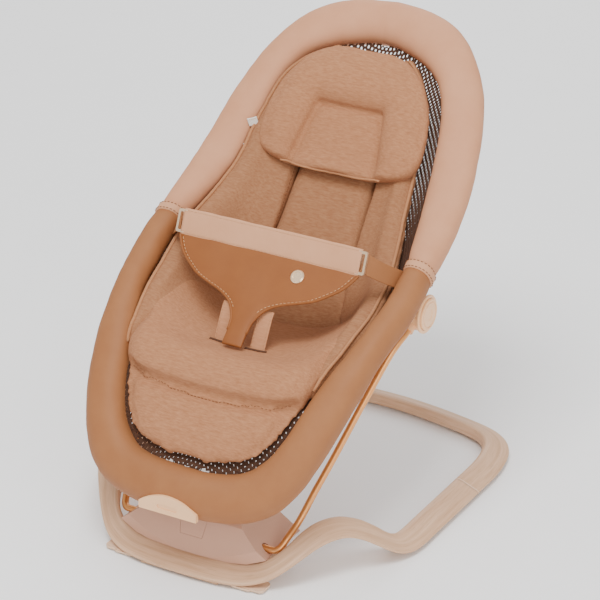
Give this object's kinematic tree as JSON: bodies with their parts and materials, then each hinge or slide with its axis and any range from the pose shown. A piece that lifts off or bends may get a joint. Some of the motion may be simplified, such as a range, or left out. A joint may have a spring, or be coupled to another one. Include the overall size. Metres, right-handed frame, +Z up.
{
  "type": "baby bouncer seat",
  "caption": "Reclining bouncer seat: padded oval rim, mesh sling, inlay, pillow and belt on sprung wire legs over a bent wood floor bow.",
  "frame": {"origin": "On the floor in the plane of symmetry, midway between the foot end and the head end.", "axes": "+X to the right of someone who stands in front of the foot end and looks at the seat, +Y from the foot end to the head end, +Z up."},
  "size_m": [0.4924, 0.6238, 0.604],
  "materials": {
    "bow_wood": "light beech, satin varnish",
    "steel": "plain steel",
    "ring_plastic": "pale cream, matt",
    "pad_rubber": "grey-brown anti-slip rubber",
    "inner_plastic": "sand, matt",
    "cover_plastic": "rosy sand, satin",
    "wire_coat": "warm gold powder coat, satin",
    "knob_plastic": "cream, soft gloss",
    "rim_lower_cloth": "caramel imitation suede",
    "rim_upper_cloth": "light rosy brown imitation suede",
    "seam_cloth": "rosy brown band",
    "mesh": "open dark brown spacer mesh",
    "inlay_cloth": "soft brushed jersey over padding",
    "piping_cloth": "rosy brown cord piping",
    "belt_cloth": "caramel imitation leather",
    "stud_metal": "satin nickel snap",
    "label_cloth": "white woven label"
  },
  "bodies": {
    "base": {"base_front_bow": "bow_wood", "base_rear_bow": "bow_wood", "rail_spigots": "steel", "joint_ring_left": "ring_plastic", "joint_ring_right": "ring_plastic", "front_foot_left": "ring_plastic", "front_foot_right": "ring_plastic", "front_pads": "pad_rubber", "rear_pads": "pad_rubber", "hub_base": "inner_plastic", "hub_cover": "cover_plastic", "hub_screws": "steel", "axle_bushes": "ring_plastic", "fold_spring": "steel"},
    "fold_button": {"fold_button": "cover_plastic"},
    "drum": {"fold_drum": "inner_plastic"},
    "frame": {"wire_frame": "wire_coat", "side_hub_left": "knob_plastic", "side_hub_right": "knob_plastic", "recline_spring_left": "steel", "recline_spring_right": "steel"},
    "recline_button_left": {"recline_button_left": "knob_plastic"},
    "recline_button_right": {"recline_button_right": "knob_plastic"},
    "seat": {"pivot_pin_left": "steel", "pivot_pin_right": "steel", "seat_bracket_left": "steel", "seat_bracket_right": "steel", "seat_hoop": "steel", "lower_rim": "rim_lower_cloth", "upper_rim": "rim_upper_cloth", "seam_band_left": "seam_cloth", "seam_band_right": "seam_cloth", "mesh_sling": "mesh", "inlay_back": "inlay_cloth", "inlay_wing_left": "inlay_cloth", "inlay_wing_right": "inlay_cloth", "inlay_piping_left": "piping_cloth", "inlay_piping_right": "piping_cloth", "seat_cushion": "inlay_cloth", "seat_pillow": "inlay_cloth", "belt_band": "seam_cloth", "belt_panel": "belt_cloth", "belt_binding": "seam_cloth", "crotch_strap_left": "belt_cloth", "crotch_strap_right": "belt_cloth", "belt_stud": "stud_metal", "slider_left": "knob_plastic", "slider_right": "knob_plastic", "side_strap_left": "rim_lower_cloth", "side_strap_right": "rim_lower_cloth", "front_tab": "knob_plastic", "tag_upper": "label_cloth", "tag_lower": "label_cloth"}
  },
  "joints": [
    {"name": "fold", "type": "hinge", "parent": "base", "child": "drum", "pos_m": [0, -0.234, 0.042], "axis": [1, 0, 0], "range_deg": [-32, 0]},
    {"name": "bounce", "type": "hinge", "parent": "drum", "child": "frame", "pos_m": [0, -0.234, 0.042], "axis": [1, 0, 0], "range_deg": [-4, 4], "stiffness_Nm_per_rad": 250, "springref_deg": 1.72},
    {"name": "recline", "type": "hinge", "parent": "frame", "child": "seat", "pos_m": [0, 0.002, 0.303], "axis": [1, 0, 0], "range_deg": [-16, 0]},
    {"name": "recline_press_left", "type": "slide", "parent": "frame", "child": "recline_button_left", "axis": [1, 0, 0], "range_m": [0, 0.004], "stiffness_N_per_m": 400, "deforming": ["recline_spring_left"]},
    {"name": "recline_press_right", "type": "slide", "parent": "frame", "child": "recline_button_right", "axis": [-1, 0, 0], "range_m": [0, 0.004], "stiffness_N_per_m": 400, "deforming": ["recline_spring_right"]},
    {"name": "fold_press", "type": "slide", "parent": "base", "child": "fold_button", "axis": [0, 1, 0], "range_m": [0, 0.003], "stiffness_N_per_m": 300, "deforming": ["fold_spring"]}
  ]
}
